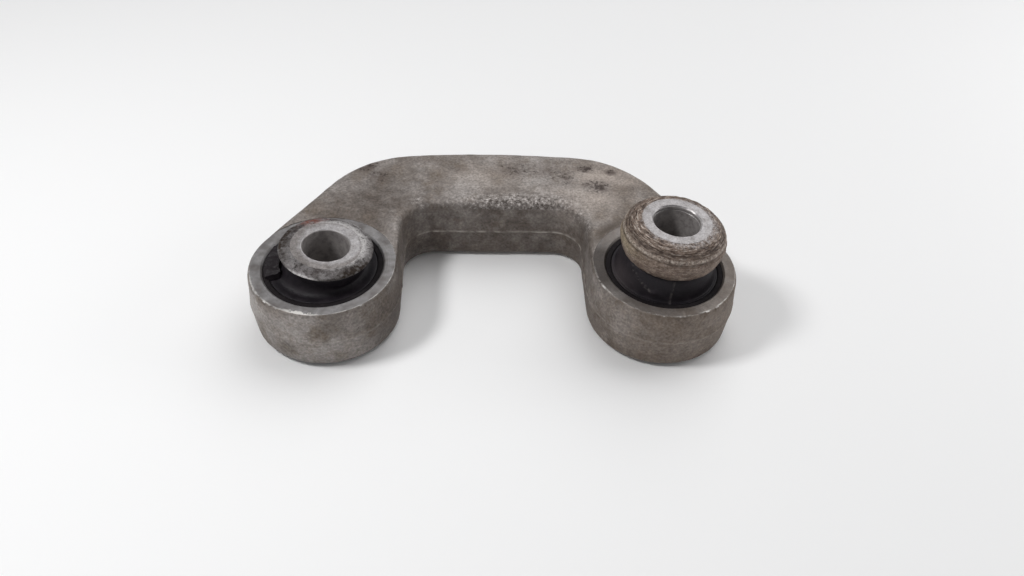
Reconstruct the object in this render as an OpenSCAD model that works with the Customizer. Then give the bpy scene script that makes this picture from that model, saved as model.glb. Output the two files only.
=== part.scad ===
// Stabilizer link: a U-shaped forging with a bonded rubber bush in each eye.
// Millimetres. The origin is the middle of the short bush, +X runs to the tall bush,
// +Y to the bridge and +Z up along the bolts.

/* [Forged link] */
// Distance between the two eye axes
centre_distance = 78; // [74:1:90]
// Bore of each eye
eye_bore = 27; // [26:0.5:28]
// Wall of each eye, measured at the parting line
eye_wall = 3.8; // [3.4:0.05:4.2]
// Height between the machined faces of an eye
eye_height = 15.4; // [14.6:0.2:16]
// Height of the rough forging
forging_height = 17; // [16.6:0.1:18]
// Outer face of the bridge, measured from the line through the eyes
bridge_reach = 44.2; // [42:0.2:48]
// Inner face of the bridge, measured from the line through the eyes
slot_depth = 21; // [19:0.2:23]
// Inside corner radius of the slot
slot_corner = 7.3; // [6:0.1:9]
// Slope of the outer flanks against the line through the eyes
flank_angle = 59.3; // [57:0.1:61]
// Radius of the outer shoulders
shoulder_radius = 26; // [22:0.5:28]
// Radius of the slight bow along the back
back_radius = 205; // [180:5:300]
// Rounding of the forged edges
edge_radius = 2; // [1.6:0.1:2.4]
// Draft of the forged walls, in degrees
draft_angle = 5; // [3:0.25:6]
// Chamfer at both ends of the eye bores
eye_chamfer = 0.4; // [0.2:0.1:0.6]

/* [Bush shells] */
// Wall of the outer shells
shell_wall = 1.25; // [1:0.05:1.4]
// How far the shells stay below the machined faces
shell_sink = 0.4; // [0.2:0.1:0.8]

/* [Inner sleeves] */
// Bolt bore of the sleeves
bolt_bore = 10.5; // [10:0.1:11]
// Outside diameter of the sleeve ends
sleeve_diameter = 15.6; // [15:0.1:16]
// Outside diameter of the barrel in the middle of a sleeve
barrel_diameter = 18.6; // [17.6:0.1:19]
// Length of the barrel
barrel_length = 11; // [9:0.5:12]
// How far the sleeves stand out below the eyes
sleeve_foot = 0.1; // [0.1:0.1:2]
// Height of the short sleeve above its eye
short_rise = 5.7; // [5.4:0.1:8]
// Height of the tall sleeve above its eye
tall_rise = 13.5; // [13:0.1:16]
// Chamfer at the ends of the bolt bores
bore_chamfer = 0.4; // [0.2:0.1:0.6]
// Lean of the short sleeve towards the tall one, in degrees
short_lean = 5.5; // [0:0.5:6]
// Lean of the tall sleeve away from the short one, in degrees
tall_lean = 2; // [0:0.5:6]

/* [Collars] */
// Outside diameter of the short stop collar
stop_diameter = 20.9; // [20.2:0.1:21.4]
// Height of the short stop collar
stop_height = 1.9; // [1.8:0.1:2.6]
// Outside diameter of the tall spacer collar at its belly
spacer_diameter = 23.7; // [23.2:0.1:24.2]
// Height of the tall spacer collar
spacer_height = 8.3; // [8:0.1:8.8]
// Depth of the two grooves round the spacer collar
groove_depth = 0.3; // [0.2:0.1:0.5]

/* [Rubber] */
// Diameter of the rubber neck under the stop collar
neck_diameter = 17.8; // [17.4:0.1:18.4]
// How far the rubber lies below the machined faces at its outer edge
rubber_sink = 0.6; // [0.4:0.1:1.2]
// Diameter at the top of the rubber cone under the spacer collar
cone_top_diameter = 20.6; // [19.8:0.1:21]
// Gap between a collar and the rubber under it
collar_gap = 0.3; // [0.2:0.1:0.5]
// Radial running gap all round the rubber
rubber_gap = 0.05; // [0.03:0.01:0.08]

/* [Hidden] */
$fn = 96;

mid_x = centre_distance / 2;
half_eye = eye_height / 2;
half_forging = forging_height / 2;
bore_radius = eye_bore / 2;
eye_radius = bore_radius + eye_wall;
slot_half = mid_x - eye_radius;
shell_inner = bore_radius - shell_wall;
sleeve_radius = sleeve_diameter / 2;
barrel_radius = barrel_diameter / 2;
bolt_radius = bolt_bore / 2;
sleeve_bottom = -half_eye - sleeve_foot;
short_top = half_eye + short_rise;
tall_top = half_eye + tall_rise;
stop_foot = short_top - stop_height;
spacer_foot = tall_top - spacer_height;
steps = 6;

function unit(a) = [cos(a), sin(a)];
function swap_side(p) = [-p[0], p[1]];

// outline of the right half, seen from above with the origin midway between the eyes
eye_at = [mid_x, 0];
flank_normal = 90 - flank_angle;
back_at = [0, bridge_reach - back_radius];
// the shoulder arc touches the flank line and the bowed back
flank_level = mid_x * cos(flank_normal) + eye_radius - shoulder_radius;
along = unit(flank_normal + 90);
from_back = flank_level * unit(flank_normal) - back_at;
slide_b = along * from_back;
slide_c = from_back * from_back - pow(back_radius - shoulder_radius, 2);
shoulder_at = flank_level * unit(flank_normal) + (sqrt(slide_b * slide_b - slide_c) - slide_b) * along;
back_end = atan2(shoulder_at[1] - back_at[1], shoulder_at[0] - back_at[0]);
corner_at = [slot_half - slot_corner, slot_depth - slot_corner];
arm_at = [slot_half + eye_radius / 2, slot_depth + (bridge_reach - slot_depth) / 4];

function arc(at, radius, a, b, count) = [for (i = [0:count]) at + radius * unit(a + (b - a) * i / count)];
function tail(list) = [for (i = [1:len(list) - 1]) list[i]];

// pieces of each arc: half the back, a shoulder, an eye and an inside corner
back_count = 3;
shoulder_count = 8;
eye_count = 28;
corner_count = 9;

// right half of the outline, moved inwards by d: from the middle of the back round to the middle of the slot
function half_outline(d) = concat(
    arc(back_at, back_radius - d, 90, back_end, back_count),
    tail(arc(shoulder_at, shoulder_radius - d, back_end, flank_normal, shoulder_count)),
    arc(eye_at, eye_radius - d, flank_normal, -180, eye_count),
    arc(corner_at, slot_corner + d, 0, 90, corner_count),
    [[0, slot_depth + d]]
);
half_count = len(half_outline(0));
ring_count = 2 * half_count - 2;
eye_first = back_count + shoulder_count + 1;
eye_last = eye_first + eye_count;

function ring(d, z) = concat(
    [for (p = half_outline(d)) [p[0], p[1], z]],
    [for (i = [half_count - 2:-1:1]) let (p = half_outline(d)[i]) [-p[0], p[1], z]]
);

// edge section from the bottom up: distance inside the outline, and height
draft_inset = (half_forging - edge_radius) * tan(draft_angle);
round_count = 4;
edge_half = [for (i = [0:round_count]) [
    draft_inset + edge_radius * (1 - cos(90 * i / round_count)),
    half_forging - edge_radius * (1 - sin(90 * i / round_count))
]];
edge_section = concat(
    [for (i = [round_count:-1:0]) [edge_half[i][0], -edge_half[i][1]]],
    [[0, 0]],
    edge_half
);
top_ring = (len(edge_section) - 1) * ring_count;
hubs = len(edge_section) * ring_count;

// the flat top and bottom are fans round the middle of each eye and a point in each arm
function fan(eye, arm) = concat(
    [for (j = [eye_first:eye_last - 1]) [eye, j, j + 1]],
    [for (j = [0:eye_first - 1]) [arm, j, j + 1]],
    [[arm, eye_first, eye], [arm, eye, eye_last]],
    [for (j = [eye_last:half_count - 2]) [arm, j, j + 1]],
    [[arm, half_count - 1, 0]]
);
function other_half(i) = i < ring_count ? (ring_count - i) % ring_count : i;
function flip(face) = [face[2], face[1], face[0]];
function swap_half(face) = flip([for (i = face) other_half(i)]);
function raise(face, by) = [for (i = face) i < ring_count ? i + by : i];

module rough_forging() {
    points = concat(
        [for (s = edge_section) each ring(s[0], s[1])],
        [for (z = [-half_forging, half_forging]) each [
            [eye_at[0], eye_at[1], z],
            [arm_at[0], arm_at[1], z],
            [-eye_at[0], eye_at[1], z],
            [-arm_at[0], arm_at[1], z]
        ]]
    );
    sides = [for (k = [0:len(edge_section) - 2], i = [0:ring_count - 1])
        let (j = (i + 1) % ring_count, low = k * ring_count, high = low + ring_count)
        [low + i, low + j, high + j, high + i]
    ];
    bottom = concat(
        [for (f = fan(hubs, hubs + 1)) flip(f)],
        [for (f = fan(hubs + 2, hubs + 3)) flip(swap_half(f))]
    );
    top = concat(
        [for (f = fan(hubs + 4, hubs + 5)) raise(f, top_ring)],
        [for (f = fan(hubs + 6, hubs + 7)) raise(swap_half(f), top_ring)]
    );
    polyhedron(points = points, faces = concat(bottom, sides, top));
}

// how far the rough wall of an eye stands inside the parting line at the height of the machined faces
rim_rise = half_eye - half_forging + edge_radius;
rim_inset = rim_rise > 0
    ? draft_inset + edge_radius - sqrt(edge_radius * edge_radius - rim_rise * rim_rise)
    : half_eye * tan(draft_angle);

// everything that machining takes away at one eye: the bore, its chamfers and the two faces
module eye_cut() {
    face_radius = eye_radius - rim_inset + 0.15;
    rotate([0, 0, -110]) {
        cylinder(r = bore_radius, h = forging_height + 2, center = true);
        for (side = [0, 1])
            mirror([0, 0, side]) {
                translate([0, 0, half_eye])
                    cylinder(r = face_radius, h = 2);
                translate([0, 0, half_eye - eye_chamfer])
                    cylinder(r1 = bore_radius, r2 = bore_radius + eye_chamfer, h = eye_chamfer);
            }
    }
}

module link_body() {
    color("#8d8a84")
        difference() {
            translate([mid_x, 0, 0])
                rough_forging();
            eye_cut();
            translate([centre_distance, 0, 0])
                eye_cut();
        }
}

module shell() {
    color("#2b2a29")
        rotate_extrude()
            translate([shell_inner, sink_bottom()])
                square([shell_wall, eye_height - 2 * shell_sink]);
}

function sink_bottom() = -half_eye + shell_sink;

// outside of a sleeve from bottom to top, swollen to a barrel inside the rubber
function sleeve_side(bottom, top, grow) = concat(
    [[sleeve_radius + grow, bottom]],
    [for (i = [0:steps]) let (t = 2 * i / steps - 1) [
        sleeve_radius + grow + (barrel_radius - sleeve_radius) * (1 - t * t),
        t * barrel_length / 2
    ]],
    [[sleeve_radius + grow, top]]
);

module sleeve(top) {
    color("#9a968f")
        difference() {
            rotate_extrude()
                polygon(concat(
                    [[0, sleeve_bottom]],
                    sleeve_side(sleeve_bottom, top, 0),
                    [[0, top]]
                ));
            translate([0, 0, sleeve_bottom - 1])
                cylinder(r = bolt_radius, h = top - sleeve_bottom + 2);
            translate([0, 0, top - bore_chamfer])
                cylinder(r1 = bolt_radius, r2 = bolt_radius + 2 * bore_chamfer, h = 2 * bore_chamfer);
            translate([0, 0, sleeve_bottom - bore_chamfer])
                cylinder(r1 = bolt_radius + 2 * bore_chamfer, r2 = bolt_radius, h = 2 * bore_chamfer);
        }
}

// space that a rubber leaves for its sleeve
module sleeve_space() {
    rotate_extrude()
        polygon(concat(
            [[0, sleeve_bottom - 4]],
            sleeve_side(sleeve_bottom - 4, tall_top + 4, rubber_gap),
            [[0, tall_top + 4]]
        ));
}

rubber_radius = shell_inner - rubber_gap;
rubber_edge = half_eye - rubber_sink;
neck_radius = neck_diameter / 2;

// upright web of a rubber, dished a little at both ends
module rubber_web(dish) {
    rotate_extrude()
        polygon([
            [0, -rubber_edge + dish],
            [neck_radius + 0.8, -rubber_edge + dish],
            [rubber_radius - 0.8, -rubber_edge],
            [rubber_radius, -rubber_edge + 0.6],
            [rubber_radius, rubber_edge - 0.6],
            [rubber_radius - 0.8, rubber_edge],
            [neck_radius + 0.8, rubber_edge - dish],
            [0, rubber_edge - dish]
        ]);
}

module short_bush_rubber() {
    neck_top = stop_foot - collar_gap;
    color("#1d1d1e")
        difference() {
            union() {
                rubber_web(0.5);
                rotate([0, short_lean, 0])
                    rotate_extrude()
                        polygon([
                            [0, -half_eye + 0.3],
                            [neck_radius - 0.5, -half_eye + 0.3],
                            [neck_radius, -half_eye + 0.7],
                            [neck_radius, neck_top - 0.6],
                            [neck_radius + 0.3, neck_top],
                            [0, neck_top]
                        ]);
            }
            rotate([0, short_lean, 0])
                sleeve_space();
        }
}

module tall_bush_rubber() {
    cone_top = spacer_foot - collar_gap;
    cone_radius = cone_top_diameter / 2;
    color("#1d1d1e")
        difference() {
            union() {
                rubber_web(0.5);
                rotate([0, tall_lean, 0])
                    rotate_extrude()
                        polygon([
                            [0, -half_eye + 0.3],
                            [neck_radius - 0.5, -half_eye + 0.3],
                            [neck_radius, -half_eye + 0.7],
                            [neck_radius, 0],
                            [rubber_radius - 1.4, rubber_edge - 0.8],
                            [rubber_radius - 1, rubber_edge + 0.6],
                            [cone_radius + 0.6, cone_top - 2.4],
                            [cone_radius, cone_top],
                            [0, cone_top]
                        ]);
            }
            rotate([0, tall_lean, 0])
                sleeve_space();
        }
}

module short_inner_sleeve() {
    rotate([0, short_lean, 0])
        sleeve(short_top);
}

module tall_inner_sleeve() {
    rotate([0, tall_lean, 0])
        sleeve(tall_top);
}

module short_stop_collar() {
    outer = stop_diameter / 2;
    color("#7d7972")
        rotate([0, short_lean, 0])
            rotate_extrude()
                polygon([
                    [sleeve_radius, stop_foot],
                    [outer - 1.3, stop_foot],
                    [outer - 0.4, stop_foot + 0.4],
                    [outer, short_top - 1.1],
                    [outer - 0.1, short_top - 0.85],
                    [outer - 0.5, short_top - 0.55],
                    [outer - 1.2, short_top - 0.3],
                    [sleeve_radius + 0.4, short_top - 0.1],
                    [sleeve_radius, short_top - 0.1]
                ]);
}

module tall_spacer_collar() {
    outer = spacer_diameter / 2;
    // heights of the two grooves above the foot
    low_groove = 0.62 * spacer_height;
    high_groove = 0.855 * spacer_height;
    color("#7a6c5c")
        rotate([0, tall_lean, 0])
            translate([0, 0, spacer_foot])
                rotate_extrude()
                    polygon([
                        [sleeve_radius, 0],
                        [outer - 1.5, 0],
                        [outer - 1, 0.3],
                        [outer - 0.6, 1],
                        [outer - 0.2, 0.3 * spacer_height],
                        [outer, 0.44 * spacer_height],
                        [outer, low_groove - 0.75],
                        [outer - 0.25, low_groove - 0.4],
                        [outer - 0.15 - groove_depth, low_groove - 0.15],
                        [outer - 0.15 - groove_depth, low_groove + 0.15],
                        [outer - 0.35, low_groove + 0.4],
                        [outer - 0.55, (low_groove + high_groove) / 2],
                        [outer - 0.95, high_groove - 0.45],
                        [outer - 1.3 - groove_depth, high_groove - 0.1],
                        [outer - 1.3 - groove_depth, high_groove + 0.1],
                        [outer - 1.55, high_groove + 0.35],
                        [outer - 2.4, spacer_height - 0.4],
                        [sleeve_radius + 0.6, spacer_height - 0.15],
                        [sleeve_radius, spacer_height - 0.15]
                    ]);
}

module at_tall_eye() {
    translate([centre_distance, 0, 0])
        children();
}

link_body();
shell();  // short_bush_shell
short_bush_rubber();
short_inner_sleeve();
short_stop_collar();
at_tall_eye() shell();  // tall_bush_shell
at_tall_eye() tall_bush_rubber();
at_tall_eye() tall_inner_sleeve();
at_tall_eye() tall_spacer_collar();
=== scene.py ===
# Stabilizer link of a car's suspension: a U-shaped aluminium forging with a bonded rubber bush in
# each eye. Metres, in the CAD model's frame: the origin is the middle of the short bush, +X runs to
# the tall bush, +Y to the bridge and +Z up along the bolts.
import math

import bpy
import bmesh
import numpy as np
from mathutils import Matrix, Vector, geometry, noise


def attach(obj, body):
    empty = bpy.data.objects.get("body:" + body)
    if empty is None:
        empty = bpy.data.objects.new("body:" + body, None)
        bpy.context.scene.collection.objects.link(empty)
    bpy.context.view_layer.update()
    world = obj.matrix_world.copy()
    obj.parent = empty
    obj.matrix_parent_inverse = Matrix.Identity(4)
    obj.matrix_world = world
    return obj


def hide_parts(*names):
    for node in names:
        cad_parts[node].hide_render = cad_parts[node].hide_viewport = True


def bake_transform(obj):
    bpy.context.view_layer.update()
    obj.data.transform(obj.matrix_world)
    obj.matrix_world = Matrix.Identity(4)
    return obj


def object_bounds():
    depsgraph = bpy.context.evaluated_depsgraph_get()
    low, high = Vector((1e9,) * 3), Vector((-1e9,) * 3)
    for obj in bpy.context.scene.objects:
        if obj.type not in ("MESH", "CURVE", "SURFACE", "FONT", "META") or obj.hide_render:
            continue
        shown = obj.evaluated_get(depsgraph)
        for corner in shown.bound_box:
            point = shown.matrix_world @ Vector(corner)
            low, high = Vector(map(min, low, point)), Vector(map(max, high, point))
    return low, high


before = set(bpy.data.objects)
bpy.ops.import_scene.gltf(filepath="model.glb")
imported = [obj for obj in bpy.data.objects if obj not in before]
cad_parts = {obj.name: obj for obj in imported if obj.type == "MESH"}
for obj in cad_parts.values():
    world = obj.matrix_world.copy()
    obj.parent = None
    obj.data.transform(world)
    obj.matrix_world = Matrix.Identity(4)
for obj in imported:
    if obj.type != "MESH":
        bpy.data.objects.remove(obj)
cad_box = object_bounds()
scene = bpy.context.scene
scene.view_settings.view_transform = "Standard"

# Camera
# A phone held about 20 cm away on the open side of the link, looking down at 44 degrees.
# Its place and lens were solved from the eye faces and the outline of the forging.
mm = 0.001
camera_lens = bpy.data.cameras.new("camera")
camera_lens.sensor_width = 36.0
camera_lens.lens = 30.30
camera_lens.clip_start = 0.01
camera = bpy.data.objects.new("camera", camera_lens)
camera.location = (33.11 * mm, -145.78 * mm, 140.07 * mm)
camera.rotation_euler = (math.radians(46.264), math.radians(-2.138), math.radians(-1.872))
scene.collection.objects.link(camera)
scene.camera = camera

# Forged link
# One U-shaped drop forging in aluminium, trimmed at its parting line, with 5 degrees of draft.
# Only the eyes are machined: their bores, the chamfers and the flat faces at both ends.
centre_distance = 78.0
mid_x = centre_distance / 2
bore_radius = 13.5
eye_radius = 17.3
half_eye = 7.7
half_forging = 8.5
bridge_reach = 44.2
slot_depth = 21.0
slot_corner = 7.3
shoulder_radius = 26.0
back_radius = 205.0
edge_radius = 2.0
draft = math.tan(math.radians(5.0))
draft_inset = (half_forging - edge_radius) * draft
flank_normal = math.radians(90.0 - 59.3)
# radius of the rough wall at the height of the machined faces, and of the cutter that makes them
rim_rise = half_eye - half_forging + edge_radius
rim_edge = eye_radius - draft_inset - edge_radius + math.sqrt(edge_radius**2 - rim_rise**2)
face_radius = rim_edge + 0.15


def unit(angle):
    return np.array([math.cos(angle), math.sin(angle)])


def arc(at, radius, first, last, count):
    angles = np.linspace(first, last, count + 1)
    return at + radius * np.stack([np.cos(angles), np.sin(angles)], 1)


def between(a, b, count):
    share = (np.arange(1, count) / count)[:, None]
    return a + (b - a) * share


# the shoulder arc touches the flank and the slightly bowed back
eye_at = np.array([mid_x, 0.0])
back_at = np.array([0.0, bridge_reach - back_radius])
flank_level = mid_x * math.cos(flank_normal) + eye_radius - shoulder_radius
along_flank = unit(flank_normal + math.pi / 2)
from_back = flank_level * unit(flank_normal) - back_at
slide = along_flank @ from_back
reach = from_back @ from_back - (back_radius - shoulder_radius) ** 2
shoulder_at = flank_level * unit(flank_normal) + (math.sqrt(slide * slide - reach) - slide) * along_flank
back_end = math.atan2(shoulder_at[1] - back_at[1], shoulder_at[0] - back_at[0])
corner_at = np.array([mid_x - eye_radius - slot_corner, slot_depth - slot_corner])


def half_outline(inset):
    back = arc(back_at, back_radius - inset, math.pi / 2, back_end, 44)
    shoulder = arc(shoulder_at, shoulder_radius - inset, back_end, flank_normal, 34)[1:]
    eye = arc(eye_at, eye_radius - inset, flank_normal, -math.pi, 132)
    corner = arc(corner_at, slot_corner + inset, 0.0, math.pi / 2, 26)
    slot_middle = np.array([0.0, slot_depth + inset])
    flank = between(shoulder[-1], eye[0], 34)
    slot_wall = between(eye[-1], corner[0], 28)
    slot_back = between(corner[-1], slot_middle, 29)
    return np.concatenate([back, shoulder, flank, eye, slot_wall, corner, slot_back, slot_middle[None]])


def outline(inset):
    half = half_outline(inset)
    other_half = half[-2:0:-1] * [-1.0, 1.0]
    return np.concatenate([half, other_half]) + [mid_x, 0.0]


# section of the wall: parting line, drafted side and rounded edge, the same below as above
rounding = np.radians(np.linspace(0.0, 90.0, 10))
wall_height = np.concatenate([[0.0, 0.12, 0.25, 0.4, 0.6, 0.9], np.linspace(1.4, 6.0, 10)])
edge_height = half_forging - edge_radius * (1.0 - np.sin(rounding))
edge_inset = draft_inset + edge_radius * (1.0 - np.cos(rounding))
upper_height = np.concatenate([wall_height, edge_height])
upper_inset = np.concatenate([wall_height * draft, edge_inset])
heights = np.concatenate([-upper_height[:0:-1], upper_height])
insets = np.concatenate([upper_inset[:0:-1], upper_inset])
loops = [np.insert(outline(i), 2, z, axis=1) for i, z in zip(insets, heights)]
loop_count = len(loops[0])


def inside(points, loop):
    nxt = np.roll(loop, -1, 0)
    x = points[:, :1]
    y = points[:, 1:]
    spans = (loop[:, 1] > y) != (nxt[:, 1] > y)
    rise = np.where(nxt[:, 1] == loop[:, 1], 1.0, nxt[:, 1] - loop[:, 1])
    crossing = loop[:, 0] + (y - loop[:, 1]) / rise * (nxt[:, 0] - loop[:, 0])
    return (spans & (x < crossing)).sum(1) % 2 == 1


# the flat top and bottom carry points 0.7 mm apart, so that they can take dents
grid_step = 0.7
grid_x, grid_y = np.meshgrid(np.arange(-18.0, 97.0, grid_step), np.arange(-18.0, 45.0, grid_step * 0.866))
grid_x[1::2] += grid_step / 2
grid = np.column_stack([grid_x.ravel(), grid_y.ravel()])
grid = grid[inside(grid, outline(insets[-1] + 0.4))]
flat = np.concatenate([loops[-1][:, :2], grid])
cut = geometry.delaunay_2d_cdt([Vector(p) for p in flat], [], [list(range(loop_count))[::-1]], 1, 1e-7)
cap = [[cut[3][i][0] for i in face] for face in cut[2]]

flats = [np.insert(grid, 2, z, axis=1) for z in (half_forging, -half_forging)]
forging_points = np.concatenate(loops + flats)
top_loop = (len(loops) - 1) * loop_count
top_grid = len(loops) * loop_count
bottom_grid = top_grid + len(grid)
forging_faces = []
for k in range(len(loops) - 1):
    low = k * loop_count
    for i in range(loop_count):
        j = (i + 1) % loop_count
        forging_faces.append((low + i, low + j, low + loop_count + j, low + loop_count + i))
for face in cap:
    forging_faces.append([i + top_loop if i < loop_count else i - loop_count + top_grid for i in face])
    forging_faces.append([i if i < loop_count else i - loop_count + bottom_grid for i in face[::-1]])


def solid(name, points, faces):
    mesh = bpy.data.meshes.new(name)
    mesh.from_pydata([tuple(p) for p in np.asarray(points) * mm], [], faces)
    shape = bmesh.new()
    shape.from_mesh(mesh)
    bmesh.ops.recalc_face_normals(shape, faces=shape.faces)
    shape.to_mesh(mesh)
    shape.free()
    piece = bpy.data.objects.new(name, mesh)
    scene.collection.objects.link(piece)
    return piece


def places(piece):
    found = np.empty(len(piece.data.vertices) * 3)
    piece.data.vertices.foreach_get("co", found)
    return found.reshape(-1, 3) / mm


def push(piece, amount):
    out = np.empty(len(piece.data.vertices) * 3)
    piece.data.vertex_normals.foreach_get("vector", out)
    moved = places(piece) + out.reshape(-1, 3) * np.asarray(amount)[:, None]
    piece.data.vertices.foreach_set("co", (moved * mm).ravel())
    piece.data.update()


def cloud(points, size, octaves):
    return np.array([noise.fractal(Vector(p), 1.0, 2.0, octaves) for p in points / size])


def near(points, centre, spread):
    away = ((points - np.array(centre)) / np.array(spread)) ** 2
    return np.exp(-away.sum(1))


def bell(values, middle, width):
    return np.exp(-(((values - middle) / width) ** 2))


def clamped(values):
    return np.clip(values, 0.0, 1.0)


def paint(piece, name, values):
    layer = piece.data.attributes.new(name, "FLOAT", "POINT")
    layer.data.foreach_set("value", clamped(values).astype(np.float32))


# the rough top dips beside the machined faces, so that only a faint step is left there
from_eye = np.hypot(mid_x - np.abs(forging_points[:, 0] - mid_x), forging_points[:, 1])
dip = clamped((face_radius + 4.0 - from_eye) / 4.0)
dip = 0.73 * dip * dip * (3.0 - 2.0 * dip)
over_face = clamped((np.abs(forging_points[:, 2]) - half_eye) / (half_forging - half_eye))
forging_points[:, 2] -= np.sign(forging_points[:, 2]) * dip * over_face

forging = solid("forged_link", forging_points, forging_faces)
skin = places(forging)
in_slot = (np.abs(skin[:, 0] - mid_x) < 23.5) & (skin[:, 1] > -2.0) & (skin[:, 1] < 24.0)
parting = bell(skin[:, 2], 0.0, 0.24)
ripple = cloud(skin, 3.1, 2)
# low waves left by the die, fine unevenness from blasting, and the trimmed flash at the parting line
swell = 0.11 * cloud(skin, 12.0, 2) + 0.035 * cloud(skin, 2.4, 2)
# the underside is worn a little, so that its waves stay above the table
swell -= 0.15 * clamped((1.5 - half_forging - skin[:, 2]) / 1.5)
flash = parting * np.where(in_slot, 0.2, 0.1) * (0.75 + 0.6 * ripple)
# the inner edge of the bridge is eaten away in a sparkling band
band_line = slot_depth + 2.1 - 0.02 * (skin[:, 0] - mid_x)
band = bell(skin[:, 1], band_line, 2.7) * (skin[:, 2] > 6.6)
band = band * clamped(1.35 - np.abs(skin[:, 0] - 45.0) / 17.0)
band = np.maximum(band, 0.7 * near(skin, (20.5, 22.0, 8.5), (2.2, 2.2, 3.0)))
band = np.maximum(band, 0.7 * near(skin, (59.5, 18.5, 8.5), (2.0, 2.4, 3.0)))
band = np.maximum(band, 0.6 * near(skin, (61.3, 13.5, 8.5), (1.5, 4.0, 2.6)))
eaten = band * clamped(0.4 + 1.4 * cloud(skin, 0.9, 2))
push(forging, swell + flash - 0.28 * eaten)
broken = clamped(0.5 + 1.1 * cloud(skin, 1.8, 3))
paint(forging, "flash", parting * np.where(in_slot, 0.8, 0.36) * broken)
paint(forging, "flake", band)
# oil stains on the top: where, how wide, and how dark
stain = np.zeros(len(skin))
for spot_x, spot_y, wide, deep, dark in (
    (6.5, 36.5, 3.4, 2.6, 1.2),
    (10.0, 32.5, 2.4, 3.0, 1.0),
    (24.0, 39.0, 6.0, 2.0, 0.35),
    (30.0, 36.0, 2.0, 1.5, 0.5),
    (46.0, 35.5, 8.0, 3.6, 0.7),
    (54.0, 34.0, 4.0, 3.4, 0.75),
    (58.0, 33.0, 2.2, 2.4, 1.1),
    (57.5, 30.5, 4.0, 2.6, 0.6),
    (63.0, 36.3, 2.4, 1.4, 1.5),
    (65.5, 29.0, 3.6, 2.4, 1.4),
    (69.5, 35.0, 1.7, 1.1, 1.4),
    (73.5, 28.5, 3.0, 1.2, 0.5),
    (54.0, 24.5, 7.0, 1.4, 0.62),
    (56.0, 20.5, 4.0, 1.6, 0.7),
):
    stain = np.maximum(stain, dark * near(skin, (spot_x, spot_y, half_forging), (wide, deep, 4.0)))
paint(forging, "stain", stain)
step = np.hypot(mid_x - np.abs(skin[:, 0] - mid_x), skin[:, 1]) - face_radius
# dirt and painted shade at the step beside the machined faces, strongest on the arm behind the tall eye
step_dirt_and_shade = 0.2 + 0.7 * near(skin, (66.0, 14.0, 8.5), (6.0, 6.0, 5.0))
paint(forging, "grime", step_dirt_and_shade * bell(step, 0.8, 1.4) * (skin[:, 2] > 7.0))
# the arm of the short eye and a patch on the tall eye's flank are darker than the rest, the walls in the
# slot and the short eye's side facing it carry painted shade, the fronts darken towards the bottom, patches
# of the bridge are paler, and the tall eye is browner
patchy = clamped(0.85 + 0.4 * cloud(skin, 2.8, 3))
dirt_and_shade = 0.95 * near(skin, (10.5, 22.0, 6.0), (13.0, 10.0, 9.0)) * patchy
# painted shade on the side of the short eye that faces the slot
dirt_and_shade = np.maximum(dirt_and_shade, near(skin, (16.0, -3.0, -2.0), (9.0, 15.0, 10.0)))
dirt_and_shade = np.maximum(dirt_and_shade, 0.6 * near(skin, (62.0, -6.0, 0.0), (6.0, 9.0, 9.0)) * patchy)
# darker towards the bottom on the front
dirt_and_shade = np.maximum(dirt_and_shade, 0.3 * clamped((-3.0 - skin[:, 2]) / 4.0) * (skin[:, 1] < -6.0))
# painted shade on the walls inside the slot
slot_wall = np.clip((8.6 - np.abs(skin[:, 2])) / 1.6, 0.0, 0.8) * patchy
dirt_and_shade = np.maximum(dirt_and_shade, np.where(in_slot, slot_wall, 0.0))
paint(forging, "dirt_and_shade", dirt_and_shade)
pale = near(skin, (68.0, 33.0, 8.5), (9.0, 5.0, 5.0))
pale = np.maximum(pale, near(skin, (62.0, 23.5, 8.5), (9.0, 5.0, 5.0)))
pale = np.maximum(pale, 0.5 * near(skin, (38.0, 33.0, 8.5), (9.0, 5.0, 5.0)))
paint(forging, "pale", pale)
brown = clamped((skin[:, 0] - 55.0) / 22.0) * np.clip((18.0 - skin[:, 1]) / 22.0, 0.25, 1.0)
paint(forging, "earthy", 0.75 * brown)


def turned(name, profile, segments):
    # profile: points (radius, height) of a closed loop, or of a line from axis to axis
    points = []
    first = []
    for radius, height in profile:
        first.append(len(points))
        if radius < 1e-6:
            points.append((0.0, 0.0, height))
            continue
        for i in range(segments):
            angle = 2.0 * math.pi * i / segments
            points.append((radius * math.cos(angle), radius * math.sin(angle), height))
    faces = []
    for k in range(len(profile)):
        m = (k + 1) % len(profile)
        pole_k = profile[k][0] < 1e-6
        pole_m = profile[m][0] < 1e-6
        if pole_k and pole_m:
            continue
        for i in range(segments):
            j = (i + 1) % segments
            if pole_k:
                faces.append((first[k], first[m] + j, first[m] + i))
            elif pole_m:
                faces.append((first[k] + i, first[k] + j, first[m]))
            else:
                faces.append((first[k] + i, first[k] + j, first[m] + j, first[m] + i))
    return solid(name, points, faces)


def smooth(piece, angle):
    piece.data.shade_smooth()
    piece.data.set_sharp_from_angle(angle=math.radians(angle))


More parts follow.
